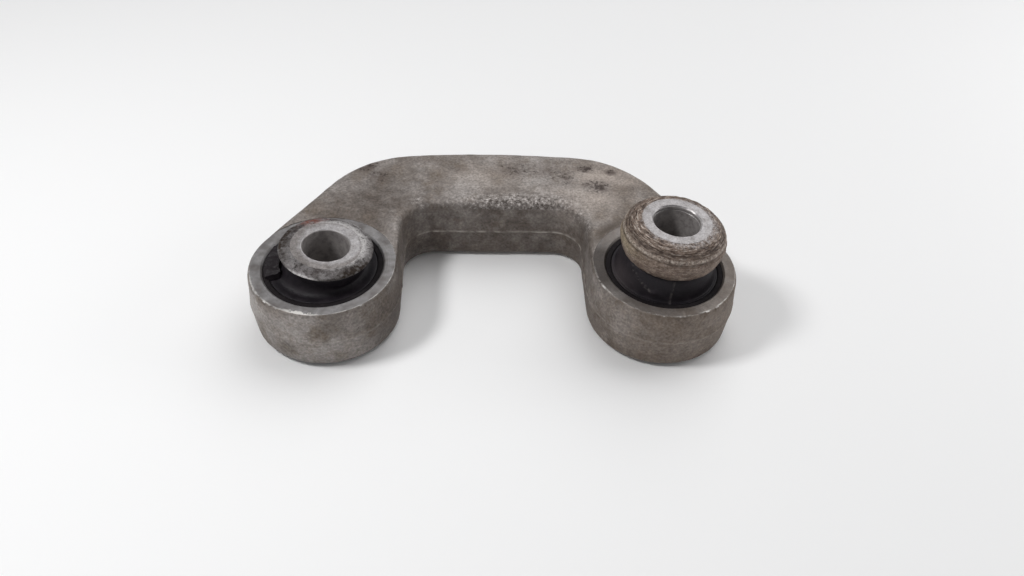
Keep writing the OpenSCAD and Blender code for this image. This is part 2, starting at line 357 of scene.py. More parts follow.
# the cutter takes away the bore, both chamfers and both end faces of one eye
chamfer = 0.4
cutter_reach = 12.0
eye_cut = [
    (0.0, -cutter_reach),
    (face_radius, -cutter_reach),
    (face_radius, -half_eye),
    (bore_radius + chamfer, -half_eye),
    (bore_radius, -half_eye + chamfer),
    (bore_radius, half_eye - chamfer),
    (bore_radius + chamfer, half_eye),
    (face_radius, half_eye),
    (face_radius, cutter_reach),
    (0.0, cutter_reach),
]
for eye_x in (0.0, centre_distance):
    cutter = turned("eye_cutter", eye_cut, 256)
    cutter.location.x = eye_x * mm
    machining = forging.modifiers.new("machining", "BOOLEAN")
    machining.operation = "DIFFERENCE"
    machining.solver = "EXACT"
    machining.object = cutter
    bpy.context.view_layer.update()
    machined = forging.evaluated_get(bpy.context.evaluated_depsgraph_get())
    machined_mesh = bpy.data.meshes.new_from_object(machined)
    forging.modifiers.clear()
    forging.data = machined_mesh
    bpy.data.objects.remove(cutter)
# the free edge of each upper rim is knocked: small dents, and a burr on the front of the short eye
burr_at = (-3.1, -16.0, half_eye)
rim = places(forging)
from_axis = np.hypot(mid_x - np.abs(rim[:, 0] - mid_x), rim[:, 1])
on_edge = (np.abs(rim[:, 2] - half_eye) < 0.01) & (np.abs(from_axis - rim_edge) < 0.35) & (rim[:, 1] < -2.0)
dent = on_edge * clamped(cloud(rim, 1.3, 3) + 0.1)
burr = near(rim, burr_at, (4.5, 2.5, 1.0))
rim[:, 2] -= dent * (0.12 + 0.4 * burr)
rim[:, 1] -= dent * 0.35 * burr
forging.data.vertices.foreach_set("co", (rim * mm).ravel())
forging.data.update()
rubbed_edge = on_edge * clamped(0.05 + 0.9 * cloud(rim, 3.4, 3) + 1.1 * burr)
bare_metal = forging.data.attributes["flash"].data
bare_before = np.empty(len(rim), np.float32)
bare_metal.foreach_get("value", bare_before)
bare_metal.foreach_set("value", np.maximum(bare_before, rubbed_edge).astype(np.float32))
smooth(forging, 32.0)


def linear(code):
    value = np.array([int(code[i : i + 2], 16) for i in (1, 3, 5)]) / 255.0
    value = np.where(value <= 0.04045, value / 12.92, ((value + 0.055) / 1.055) ** 2.4)
    return (*value, 1.0)


def node(tree, kind, links, **settings):
    made = tree.nodes.new("ShaderNode" + kind)
    for name, value in settings.items():
        setattr(made, name, value)
    for socket, value in links.items():
        if isinstance(value, bpy.types.NodeSocket):
            tree.links.new(value, made.inputs[socket])
        else:
            made.inputs[socket].default_value = value
    return made.outputs


def finish(name):
    # a new material: its node tree, its shader, and the place on the piece in millimetres
    material = bpy.data.materials.new(name)
    material.use_nodes = True
    tree = material.node_tree
    place = node(tree, "TexCoord", {})
    in_mm = node(tree, "VectorMath", {0: place["Object"], 3: 1000.0}, operation="SCALE")
    return material, tree, tree.nodes["Principled BSDF"], in_mm[0]


# Drop-forged aluminium, shot-blasted and then years on the road: a dull grey oxide skin without gloss, soft
# brown-grey mottling, dark pits, bright metal where flash and edges were rubbed, and painted shade in the
# slot and at the steps of the machined faces.
forged_aluminium, tree, shader, at = finish("forged_aluminium")
mottle = node(tree, "TexNoise", {"Vector": at, "Scale": 1 / 11.0, "Detail": 6.0, "Roughness": 0.62})
mottle = node(
    tree, "MapRange",
    {"Value": mottle["Fac"], "From Min": 0.36, "From Max": 0.66},
    interpolation_type="SMOOTHSTEP",
)
colour = node(tree, "Mix", {0: mottle[0], 6: linear("#a19b97"), 7: linear("#7d756f")}, data_type="RGBA")
# road dirt in patches about 5 mm wide
dirt = node(tree, "TexNoise", {"Vector": at, "Scale": 1 / 5.0, "Detail": 8.0, "Roughness": 0.72})
dirt = node(
    tree, "MapRange",
    {"Value": dirt["Fac"], "From Min": 0.45, "From Max": 0.7, "To Max": 0.85},
    interpolation_type="SMOOTHSTEP",
)
colour = node(tree, "Mix", {0: dirt[0], 6: colour[2], 7: linear("#6d6257")}, data_type="RGBA")
# dirt and painted shade darken the skin, patches are paler, and the tall eye is browner
for shade, tint in (("dirt_and_shade", "#574e48"), ("pale", "#aea49c"), ("earthy", "#716459")):
    amount = node(tree, "Attribute", {}, attribute_name=shade)
    colour = node(tree, "Mix", {0: amount["Fac"], 6: colour[2], 7: linear(tint)}, data_type="RGBA")
# blasting grit leaves grain of about 0.4 mm, drawn at 0.6 mm so that it shows
grain = node(tree, "TexNoise", {"Vector": at, "Scale": 1 / 0.6, "Detail": 3.0, "Roughness": 0.6})
grain_shade = node(
    tree, "MapRange",
    {"Value": grain["Fac"], "From Min": 0.3, "From Max": 0.7, "To Min": 0.68, "To Max": 1.28},
)
# weather and handling have left cloudy spots, 2 to 3 mm wide
weather = node(tree, "TexNoise", {"Vector": at, "Scale": 1 / 2.6, "Detail": 6.0, "Roughness": 0.74})
weather = node(
    tree, "MapRange",
    {"Value": weather["Fac"], "From Min": 0.34, "From Max": 0.66, "To Min": 0.8, "To Max": 1.19},
)
spots = node(tree, "Math", {0: grain_shade[0], 1: weather[0]}, operation="MULTIPLY")
colour = node(tree, "Mix", {0: 1.0, 6: colour[2], 7: spots[0]}, data_type="RGBA", blend_type="MULTIPLY")
# corrosion in brown specks of about 0.6 mm, drawn at 0.9 mm, crowded under the oil stains
stained = node(tree, "Attribute", {}, attribute_name="stain")
speck = node(tree, "TexNoise", {"Vector": at, "Scale": 1 / 0.9, "Detail": 4.0, "Roughness": 0.65})
crowd = node(tree, "Math", {0: stained["Fac"], 1: 0.2, 2: speck["Fac"]}, operation="MULTIPLY_ADD")
pitted = node(
    tree, "MapRange",
    {"Value": crowd[0], "From Min": 0.63, "From Max": 0.8, "To Max": 0.85},
    interpolation_type="SMOOTHSTEP",
)
halo = node(tree, "TexNoise", {"Vector": at, "Scale": 1 / 2.6, "Detail": 4.0, "Roughness": 0.6})
halo = node(
    tree, "MapRange",
    {"Value": halo["Fac"], "From Min": 0.4, "From Max": 0.6, "To Min": 0.1, "To Max": 0.95},
)
halo = node(tree, "Math", {0: halo[0], 1: stained["Fac"]}, operation="MULTIPLY")
for amount, tint in ((halo[0], "#5b514c"), (pitted[0], "#3f3632")):
    colour = node(tree, "Mix", {0: amount, 6: colour[2], 7: linear(tint)}, data_type="RGBA")
# the eaten band: clean grey metal, clear crystals (0.5 mm, drawn at 0.8 mm), and dark holes beside them
flaked = node(tree, "Attribute", {}, attribute_name="flake")
cleaned = node(tree, "Math", {0: flaked["Fac"], 1: 0.55}, operation="MULTIPLY")
colour = node(tree, "Mix", {0: cleaned[0], 6: colour[2], 7: linear("#8f8986")}, data_type="RGBA")
crystal = node(tree, "TexNoise", {"Vector": at, "Scale": 1 / 0.8, "Detail": 3.0, "Roughness": 0.7})
clear = node(tree, "MapRange", {"Value": crystal["Fac"], "From Min": 0.54, "From Max": 0.68})
glitter = node(tree, "Math", {0: flaked["Fac"], 1: clear[0]}, operation="MULTIPLY")
colour = node(tree, "Mix", {0: glitter[0], 6: colour[2], 7: linear("#d2ccc8")}, data_type="RGBA")
hole = node(
    tree, "MapRange",
    {"Value": crystal["Fac"], "From Min": 0.38, "From Max": 0.5, "To Min": 0.95, "To Max": 0.0},
)
hole = node(tree, "Math", {0: flaked["Fac"], 1: hole[0]}, operation="MULTIPLY")
colour = node(tree, "Mix", {0: hole[0], 6: colour[2], 7: linear("#463f3a")}, data_type="RGBA")
# bare metal on the trimmed flash, and dirt with painted shade at the step of the machined faces
bare = node(tree, "Attribute", {}, attribute_name="flash")
colour = node(tree, "Mix", {0: bare["Fac"], 6: colour[2], 7: linear("#b4ada5")}, data_type="RGBA")
step_dirt_and_shade = node(tree, "Attribute", {}, attribute_name="grime")
colour = node(tree, "Mix", {0: step_dirt_and_shade["Fac"], 6: colour[2], 7: linear("#544b44")}, data_type="RGBA")
height = node(tree, "Math", {0: pitted[0], 1: -0.8, 2: grain["Fac"]}, operation="MULTIPLY_ADD")
relief = node(tree, "Bump", {"Strength": 0.55, "Distance": 0.12 * mm, "Height": height[0]})
gloss = node(tree, "MapRange", {"Value": mottle[0], "To Min": 0.52, "To Max": 0.66})
tree.links.new(colour[2], shader.inputs["Base Color"])
tree.links.new(gloss[0], shader.inputs["Roughness"])
tree.links.new(relief[0], shader.inputs["Normal"])
shader.inputs["Metallic"].default_value = 0.35
shader.inputs["Specular IOR Level"].default_value = 0.3

# Milled aluminium, dulled by dirt: smoother and greyer than the skin, with fine rings from the
# cutter (0.2 mm feed, drawn at 0.5 mm so that they show) and bare bright metal at knocked edges.
milled_aluminium, tree, shader, at = finish("milled_aluminium")
blotch = node(tree, "TexNoise", {"Vector": at, "Scale": 1 / 4.0, "Detail": 7.0, "Roughness": 0.68})
blotch = node(
    tree, "MapRange",
    {"Value": blotch["Fac"], "From Min": 0.38, "From Max": 0.66},
    interpolation_type="SMOOTHSTEP",
)
colour = node(tree, "Mix", {0: blotch[0], 6: linear("#908e8e"), 7: linear("#676260")}, data_type="RGBA")
# more dirt lies on the tall eye
parts = node(tree, "SeparateXYZ", {0: at})
dirt = node(
    tree, "MapRange", {"Value": parts[0], "From Min": mid_x, "From Max": centre_distance, "To Max": 0.65}
)
colour = node(tree, "Mix", {0: dirt[0], 6: colour[2], 7: linear("#74695f")}, data_type="RGBA")
# the tall rim is darker on the side of the slot
from_slot_side = node(tree, "VectorMath", {0: at, 1: (62.0, 0.0, half_eye)}, operation="DISTANCE")
slot_side_dark = node(
    tree, "MapRange",
    {"Value": from_slot_side["Value"], "From Min": 5.0, "From Max": 10.5, "To Min": 0.92, "To Max": 0.0},
)
colour = node(tree, "Mix", {0: slot_side_dark[0], 6: colour[2], 7: linear("#3d3632")}, data_type="RGBA")
# a speckle of about 0.3 mm, drawn at 0.5 mm so that it shows
speckle = node(tree, "TexNoise", {"Vector": at, "Scale": 1 / 0.5, "Detail": 3.0, "Roughness": 0.65})
speckle = node(
    tree, "MapRange",
    {"Value": speckle["Fac"], "From Min": 0.3, "From Max": 0.7, "To Min": 0.74, "To Max": 1.2},
)
colour = node(tree, "Mix", {0: 1.0, 6: colour[2], 7: speckle[0]}, data_type="RGBA", blend_type="MULTIPLY")
# both eyes fold onto one axis, so that one distance gives the rings of each
folded = node(tree, "Math", {0: parts[0], 1: mid_x}, operation="SUBTRACT")
folded = node(tree, "Math", {0: folded[0]}, operation="ABSOLUTE")
folded = node(tree, "Math", {0: folded[0], 1: mid_x}, operation="SUBTRACT")
spoke = node(tree, "CombineXYZ", {0: folded[0], 1: parts[1]})
radius = node(tree, "VectorMath", {0: spoke[0]}, operation="LENGTH")
rings = node(tree, "Math", {0: radius["Value"], 1: 2.0 * math.pi / 0.5}, operation="MULTIPLY")
rings = node(tree, "Math", {0: rings[0]}, operation="SINE")
# the hardest knock is on the front of the short eye, where a jagged burr stands at the edge
from_burr = node(tree, "VectorMath", {0: at, 1: burr_at}, operation="DISTANCE")
burred = node(
    tree, "MapRange",
    {"Value": from_burr["Value"], "From Min": 2.5, "From Max": 5.0, "To Min": 0.95, "To Max": 0.0},
)
jagged = node(tree, "TexNoise", {"Vector": at, "Scale": 1 / 0.9, "Detail": 3.0})
jagged = node(
    tree, "MapRange",
    {"Value": jagged["Fac"], "From Min": 0.4, "From Max": 0.6, "To Min": 0.1, "To Max": 0.75},
)
widened = node(tree, "Math", {0: burred[0], 1: jagged[0]}, operation="MULTIPLY")
widened = node(tree, "Math", {0: radius["Value"], 1: widened[0]}, operation="ADD")
edge_wear = node(
    tree, "MapRange",
    {"Value": widened[0], "From Min": rim_edge - 0.4, "From Max": rim_edge - 0.1},
    interpolation_type="SMOOTHSTEP",
)
knocks = node(tree, "TexNoise", {"Vector": at, "Scale": 1 / 3.6, "Detail": 6.0, "Roughness": 0.75})
knocks = node(
    tree, "MapRange", {"Value": knocks["Fac"], "From Min": 0.44, "From Max": 0.62, "To Max": 0.85}
)
knocks = node(tree, "Math", {0: knocks[0], 1: burred[0]}, operation="MAXIMUM")
# only the free edge, on the side away from the bridge, gets knocked
free_edge = node(tree, "MapRange", {"Value": parts[1], "From Min": 1.0, "From Max": -7.0})
worn = node(tree, "Math", {0: edge_wear[0], 1: knocks[0]}, operation="MULTIPLY")
worn = node(tree, "Math", {0: worn[0], 1: free_edge[0]}, operation="MULTIPLY")
colour = node(tree, "Mix", {0: worn[0], 6: colour[2], 7: linear("#e2dfdb")}, data_type="RGBA")
relief = node(tree, "Bump", {"Strength": 0.25, "Distance": 0.03 * mm, "Height": rings[0]})
tree.links.new(colour[2], shader.inputs["Base Color"])
tree.links.new(relief[0], shader.inputs["Normal"])
shader.inputs["Metallic"].default_value = 0.45
shader.inputs["Roughness"].default_value = 0.48

forging.data.materials.clear()
forging.data.materials.append(forged_aluminium)
forging.data.materials.append(milled_aluminium)
for face in forging.data.polygons:
    from_axis = math.hypot(mid_x - abs(face.center.x / mm - mid_x), face.center.y / mm)
    on_face = abs(abs(face.center.z / mm) - half_eye) < 0.3 and abs(face.normal.z) > 0.8
    on_face = on_face and from_axis < face_radius
    in_bore = from_axis < bore_radius + chamfer + 0.1
    face.material_index = 1 if on_face or in_bore else 0
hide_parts("link_body")
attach(forging, "link")

# Bush shells
# Thin steel tubes, drawn and phosphated black, that the rubber is bonded to. Each is pressed into
# its eye, and only its rounded edge shows between the eye's chamfer and the rubber.
shell_inner = 12.25
shell_half = 7.3


def softened(profile, radius):
    # rounds each corner of a closed profile by a short curve
    corners = np.array(profile)
    made = []
    for k in range(len(corners)):
        here = corners[k]
        back = corners[k - 1] - here
        ahead = corners[(k + 1) % len(corners)] - here
        start = here + back * min(0.45, radius / np.linalg.norm(back))
        end = here + ahead * min(0.45, radius / np.linalg.norm(ahead))
        for t in (0.0, 0.25, 0.5, 0.75, 1.0):
            made.append((1 - t) ** 2 * start + 2 * t * (1 - t) * here + t * t * end)
    return made


def spaced(profile, step):
    # adds points along the straight stretches of a closed profile
    made = []
    for k in range(len(profile)):
        here = np.array(profile[k])
        ahead = np.array(profile[(k + 1) % len(profile)])
        count = max(1, math.ceil(np.linalg.norm(ahead - here) / step))
        made.extend(here + (ahead - here) * i / count for i in range(count))
    return made


shell_profile = [
    (shell_inner, -shell_half), (bore_radius, -shell_half), (bore_radius, shell_half),
    (shell_inner, shell_half),
]

# Phosphated steel: nearly black and matt under a skin of rubber, greyer where the edge is scuffed.
phosphated_steel, tree, shader, at = finish("phosphated_steel")
scuff = node(tree, "TexNoise", {"Vector": at, "Scale": 1 / 1.6, "Detail": 6.0, "Roughness": 0.7})
scuff = node(tree, "MapRange", {"Value": scuff["Fac"], "From Min": 0.5, "From Max": 0.7})
colour = node(tree, "Mix", {0: scuff[0], 6: linear("#1a1618"), 7: linear("#2a2627")}, data_type="RGBA")
tree.links.new(colour[2], shader.inputs["Base Color"])
shader.inputs["Roughness"].default_value = 0.85
shader.inputs["Specular IOR Level"].default_value = 0.2

for side, eye_x in (("short", 0.0), ("tall", centre_distance)):
    shell = turned(side + "_shell", softened(shell_profile, 0.35), 192)
    shell.location.x = eye_x * mm
    smooth(shell, 40.0)
    shell.data.materials.append(phosphated_steel)
    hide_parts(side + "_bush_shell")
    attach(shell, "link")

# Rubber bushes
# Natural rubber moulded and bonded between shell and sleeve. An upper and a lower half each bend
# from the shell, which stays with the link, to the sleeve, which leans. One ends in a neck, one in a cone.
rubber_radius = 12.2
barrel_room = 9.75
lower_profile = [
    (barrel_room, -0.02), (barrel_room, -5.4), (9.15, -5.9), (8.78, -6.4), (8.42, -6.8), (8.25, -7.25),
    (8.5, -7.4), (8.85, -7.15), (9.2, -6.65), (9.9, -6.3), (11.0, -6.2), (11.8, -6.3),
    (rubber_radius, -6.1), (rubber_radius, -0.02),
]
short_upper_profile = [
    (barrel_room, 0.02), (rubber_radius, 0.02), (rubber_radius, 7.0), (12.15, 7.25), (11.5, 7.22),
    (10.6, 7.1), (10.0, 7.2), (9.35, 7.6), (9.0, 8.3), (8.95, 9.8), (9.15, 10.8), (8.9, 11.15),
    (8.2, 11.15), (8.25, 9.2), (8.58, 8.3), (8.95, 7.6), (9.25, 7.0), (barrel_room, 6.1),
]
tall_upper_profile = [
    (barrel_room, 0.02), (rubber_radius, 0.02), (rubber_radius, 7.0), (12.15, 7.25), (11.9, 7.25),
    (11.6, 7.15), (11.4, 7.5), (11.25, 8.3), (10.95, 10.2), (10.55, 11.9), (10.2, 12.55), (9.6, 12.75),
    (8.2, 12.75), (8.32, 11.0), (8.7, 10.0), (9.05, 8.6), (9.25, 7.4), (barrel_room, 6.1),
]

# Moulded black rubber: matt with a soft sheen, greyed by dust, a little browner where it is torn, paler on
# the left of the tall cone, and with painted glints on the mould's seam and on a fold.
moulded_rubber, tree, shader, at = finish("moulded_rubber")
dust = node(tree, "TexNoise", {"Vector": at, "Scale": 1 / 2.4, "Detail": 7.0, "Roughness": 0.7})
dust = node(tree, "MapRange", {"Value": dust["Fac"], "From Min": 0.48, "From Max": 0.75})
colour = node(tree, "Mix", {0: dust[0], 6: linear("#19151a"), 7: linear("#2e282d")}, data_type="RGBA")
torn = node(tree, "Attribute", {}, attribute_name="torn")
colour = node(tree, "Mix", {0: torn["Fac"], 6: colour[2], 7: linear("#1d171a")}, data_type="RGBA")
# paler on the left of the tall cone
paler_left = node(tree, "Attribute", {}, attribute_name="paler_left")
colour = node(tree, "Mix", {0: paler_left["Fac"], 6: colour[2], 7: linear("#433d3f")}, data_type="RGBA")
# painted glints on the seam and the fold
seam_glints = node(tree, "Attribute", {}, attribute_name="seam_glints")
colour = node(tree, "Mix", {0: seam_glints["Fac"], 6: colour[2], 7: linear("#8f8985")}, data_type="RGBA")
skin_grain = node(tree, "TexNoise", {"Vector": at, "Scale": 1 / 0.7, "Detail": 4.0, "Roughness": 0.65})
relief = node(tree, "Bump", {"Strength": 0.5, "Distance": 0.18 * mm, "Height": skin_grain["Fac"]})
gloss = node(tree, "MapRange", {"Value": dust[0], "To Min": 0.52, "To Max": 0.78})
tree.links.new(colour[2], shader.inputs["Base Color"])
tree.links.new(gloss[0], shader.inputs["Roughness"])
tree.links.new(relief[0], shader.inputs["Normal"])
shader.inputs["IOR"].default_value = 1.52
shader.inputs["Specular IOR Level"].default_value = 0.25


def rise_share(height, start, end):
    share = clamped((height - start) / (end - start))
    return share * share * (3.0 - 2.0 * share)


short_lean = math.radians(5.5)
tall_lean = math.radians(2.0)
rubbers = (
    ("short_rubber_upper", short_upper_profile, "short", 0.0, short_lean, 7.0, 9.4),
    ("short_rubber_lower", lower_profile, "short", 0.0, short_lean, -6.0, -7.4),
    ("tall_rubber_upper", tall_upper_profile, "tall", centre_distance, tall_lean, 6.9, 12.5),
    ("tall_rubber_lower", lower_profile, "tall", centre_distance, tall_lean, -6.0, -7.4),
)
for name, profile, side, eye_x, lean, start, end in rubbers:
    rubber = turned(name, spaced(softened(profile, 0.5), 0.3), 288)
    spot = places(rubber)
    radius_here = np.hypot(spot[:, 0], spot[:, 1])
    angle_here = np.degrees(np.arctan2(spot[:, 1], spot[:, 0])) % 360.0
    torn_here = np.zeros(len(spot))
    seam_glints_here = np.zeros(len(spot))
    paler_left_here = np.zeros(len(spot))
    if name == "short_rubber_upper":
        # a flap has torn off the neck on the left: it stands up, and ends in a radial crack
        rising = clamped((angle_here - 132.0) / 22.0)
        cliff = clamped((203.0 - angle_here) / 1.2)
        across = clamped((radius_here - 9.5) / 0.5)
        flap = rising * cliff * across * (spot[:, 2] > 6.95)
        spot[:, 2] += flap * (1.0 + 0.3 * cloud(spot, 1.2, 3) - 0.3 * np.clip(radius_here - 10.5, 0.0, 2.0))
        spot[:, :2] *= (1.0 + 0.085 * flap * clamped((radius_here - 10.5) / 1.5))[:, None]
        crack = bell(angle_here, 203.8, 1.2) * (radius_here > 9.3) * (spot[:, 2] > 6.2)
        spot[:, 2] -= 0.5 * crack
        torn_here = flap * 0.8
    if name == "tall_rubber_upper":
        # the mould's seam runs down the front of the cone, beside a fold and a small blob
        on_side = (radius_here > 10.3) & (spot[:, 2] > 7.0)
        seam_glints_here = bell(angle_here, 267.0, 0.8) * on_side
        fold_height = 11.8 - 0.09 * (angle_here - 212.0)
        fold = bell(spot[:, 2], fold_height, 0.3) * on_side
        fold = fold * clamped((angle_here - 205.0) / 8.0)
        fold = fold * clamped((246.0 - angle_here) / 5.0)
        unrolled = np.column_stack([angle_here, spot[:, 2]])
        blob = near(unrolled, (247.0, 9.0), (3.0, 0.6)) * on_side
        outwards = 0.12 * seam_glints_here + 0.24 * fold * (0.5 + cloud(spot, 0.8, 2)) + 0.4 * blob
        spot[:, :2] *= (1.0 + outwards / np.maximum(radius_here, 1.0))[:, None]
        # the seam and the fold carry painted glints, broken up along their length
        seam_glints_here = 0.3 * seam_glints_here * clamped(0.6 + cloud(spot, 0.7, 2))
        seam_glints_here += 0.4 * fold * clamped(1.6 * cloud(spot, 0.6, 2))
        # the tall cone is paler on its left side
        paler_left_here = near(unrolled, (196.0, 8.0), (24.0, 2.6))
    spot[:, 2] += 0.05 * cloud(spot, 3.0, 2) * (np.abs(spot[:, 2]) > 6.0)
    # the half leans with its sleeve as far as it follows it
    turn = lean * rise_share(spot[:, 2], start, end)
    leaned = spot.copy()
    leaned[:, 0] = spot[:, 0] * np.cos(turn) + spot[:, 2] * np.sin(turn) + eye_x
    leaned[:, 2] = spot[:, 2] * np.cos(turn) - spot[:, 0] * np.sin(turn)
    rubber.data.vertices.foreach_set("co", (leaned * mm).ravel())
    rubber.data.update()
    paint(rubber, "torn", torn_here)
    paint(rubber, "seam_glints", seam_glints_here)
    paint(rubber, "paler_left", paler_left_here)
    smooth(rubber, 50.0)
    rubber.data.materials.append(moulded_rubber)
    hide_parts(side + "_bush_rubber")
    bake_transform(rubber)

# Inner sleeves
# Thick steel tubes, turned from bar, swollen to a barrel inside the rubber. The bolt clamps them, so
# their end faces are rubbed bright, while the bore is dull with dried grease.
bolt_radius = 5.25
groove_radius = bolt_radius + 0.12
sleeve_radius = 7.8
barrel_radius = 9.3
barrel_half = 5.5
sleeve_bottom = -7.8
sleeve_tops = {"short": 13.4, "tall": 21.2}

# Turned steel, rubbed bright: pale grey with soft reflections, rings from the lathe (0.25 mm feed,
# drawn at 0.5 mm so that they show), darker stains, and dried grease in the bore.
turned_steel, tree, shader, at = finish("turned_steel")
tarnish = node(tree, "TexNoise", {"Vector": at, "Scale": 1 / 1.8, "Detail": 7.0, "Roughness": 0.72})
tarnish = node(tree, "MapRange", {"Value": tarnish["Fac"], "From Min": 0.42, "From Max": 0.68})
colour = node(tree, "Mix", {0: tarnish[0], 6: linear("#8f8a88"), 7: linear("#6e6865")}, data_type="RGBA")
bright = node(tree, "Attribute", {}, attribute_name="bright")
colour = node(tree, "Mix", {0: bright["Fac"], 6: colour[2], 7: linear("#b0adae")}, data_type="RGBA")
# scratched all over in grains of about 0.2 mm, drawn at 0.4 mm so that they show
grain = node(tree, "TexNoise", {"Vector": at, "Scale": 1 / 0.4, "Detail": 3.0, "Roughness": 0.65})
grain = node(
    tree, "MapRange",
    {"Value": grain["Fac"], "From Min": 0.3, "From Max": 0.7, "To Min": 0.68, "To Max": 1.24},
)
colour = node(tree, "Mix", {0: 1.0, 6: colour[2], 7: grain[0]}, data_type="RGBA", blend_type="MULTIPLY")
parts = node(tree, "SeparateXYZ", {0: at})
spoke = node(tree, "CombineXYZ", {0: parts[0], 1: parts[1]})
radius = node(tree, "VectorMath", {0: spoke[0]}, operation="LENGTH")
rings = node(tree, "Math", {0: radius["Value"], 1: 2.0 * math.pi / 0.5}, operation="MULTIPLY")
rings = node(tree, "Math", {0: rings[0]}, operation="SINE")
film = node(tree, "Mix", {0: tarnish[0], 6: linear("#9f9a98"), 7: linear("#736e6e")}, data_type="RGBA")
greasy = node(
    tree, "MapRange",
    {
        "Value": radius["Value"],
        "From Min": bolt_radius + 0.04,
        "From Max": groove_radius,
        "To Min": 1.0,
        "To Max": 0.0,
    },
)
colour = node(tree, "Mix", {0: greasy[0], 6: colour[2], 7: film[2]}, data_type="RGBA")
# the lip of the bore is polished by the bolt in places
lip = node(tree, "Math", {0: radius["Value"], 1: bolt_radius + 0.18, 2: 0.1}, operation="COMPARE")
polish = node(tree, "TexNoise", {"Vector": at, "Scale": 1 / 3.5, "Detail": 3.0})
polish = node(tree, "MapRange", {"Value": polish["Fac"], "From Min": 0.42, "From Max": 0.62, "To Max": 0.5})
lip = node(tree, "Math", {0: lip[0], 1: polish[0]}, operation="MULTIPLY")
colour = node(tree, "Mix", {0: lip[0], 6: colour[2], 7: linear("#e4e2e1")}, data_type="RGBA")
relief = node(tree, "Bump", {"Strength": 0.12, "Distance": 0.04 * mm, "Height": rings[0]})
gloss = node(tree, "MapRange", {"Value": tarnish[0], "To Min": 0.36, "To Max": 0.55})
tree.links.new(colour[2], shader.inputs["Base Color"])
tree.links.new(gloss[0], shader.inputs["Roughness"])
tree.links.new(relief[0], shader.inputs["Normal"])
# inside the bore a dry film of dirt hides the metal
metal = node(tree, "MapRange", {"Value": greasy[0], "To Min": 0.55, "To Max": 0.05})
tree.links.new(metal[0], shader.inputs["Metallic"])

for side, eye_x, lean in (("short", 0.0, short_lean), ("tall", centre_distance, tall_lean)):
    top = sleeve_tops[side]
    swelling = []
    for t in np.linspace(-1.0, 1.0, 21):
        swelling.append((sleeve_radius + (barrel_radius - sleeve_radius) * (1.0 - t * t), t * barrel_half))
    # the bore ends in a chamfer, and the tall one has a fine groove below it
    end_chamfer = 0.3 if side == "tall" else 0.2
    ends = [
        (bolt_radius, top - end_chamfer - 0.05),
        (bolt_radius + end_chamfer, top),
        (sleeve_radius - 0.04, top),
        (sleeve_radius, top - 0.04),
    ]
    feet = [
        (sleeve_radius, sleeve_bottom + 0.15),
        (sleeve_radius - 0.15, sleeve_bottom),
        (bolt_radius + 0.5, sleeve_bottom),
        (bolt_radius, sleeve_bottom + 0.5),
    ]
    if side == "tall":
        groove = [(bolt_radius, top - 1.25), (groove_radius, top - 1.15)]
        groove += [(groove_radius, top - 0.95), (bolt_radius, top - 0.85)]
        ends = groove + ends
    sleeve = turned(side + "_sleeve", spaced(ends + swelling[::-1] + feet, 0.4), 224)
    rub = places(sleeve)
    push(sleeve, np.where(rub[:, 2] > top - 1.0, 0.03 * cloud(rub, 1.5, 2), 0.0))
    # the end face is rubbed bright, on the short sleeve more towards the tall eye and the bridge
    rubbed_at = (0.8, 0.6) if side == "short" else (0.3, 0.0)
    rubbed_wide = 7.2 if side == "short" else 8.3
    from_rub = np.hypot(rub[:, 0] - rubbed_at[0], rub[:, 1] - rubbed_at[1])
    rubbed = clamped((rubbed_wide - from_rub) / 0.9 + 0.5 * cloud(rub, 1.1, 3))
    clean = clamped((0.8 if side == "short" else 0.62) + 0.5 * cloud(rub, 1.4, 3))
    paint(sleeve, "bright", rubbed * clean * ((rub[:, 2] > 8.0) | (rub[:, 2] < -7.6)))
    sleeve.matrix_world = Matrix.Translation((eye_x * mm, 0.0, 0.0)) @ Matrix.Rotation(lean, 4, "Y")
    smooth(sleeve, 30.0)
    sleeve.data.materials.append(turned_steel)
    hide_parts(side + "_inner_sleeve")
    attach(sleeve, side + "_sleeve")

# Short stop collar
# A low steel ring pressed on the sleeve's end, that keeps the rubber from rubbing on the arm it is bolted
# to. Its plating has gone: it is pitted and grimy, with rust at the back, and its lower edge carries a
# painted highlight.
stop_profile = [
    (7.6, 11.5), (9.15, 11.5), (10.05, 11.9), (10.45, 12.3), (10.38, 12.58), (10.0, 12.86), (9.3, 13.1),
    (8.3, 13.33), (7.6, 13.38),
]

# Plated steel with the zinc worn off: mid grey, half matt, with dark pits, brown grime, rust, pale rubbed
# metal and a painted highlight on the lower edge.
worn_plating, tree, shader, at = finish("worn_plating")
wear = node(tree, "TexNoise", {"Vector": at, "Scale": 1 / 3.2, "Detail": 8.0, "Roughness": 0.7})
wear = node(tree, "MapRange", {"Value": wear["Fac"], "From Min": 0.38, "From Max": 0.64})
colour = node(tree, "Mix", {0: wear[0], 6: linear("#838080"), 7: linear("#4b4645")}, data_type="RGBA")
for shade, tint in (("grime", "#2c241e"), ("rust", "#7c5148"), ("bright", "#c9c6c5")):
    amount = node(tree, "Attribute", {}, attribute_name=shade)
    colour = node(tree, "Mix", {0: amount["Fac"], 6: colour[2], 7: linear(tint)}, data_type="RGBA")
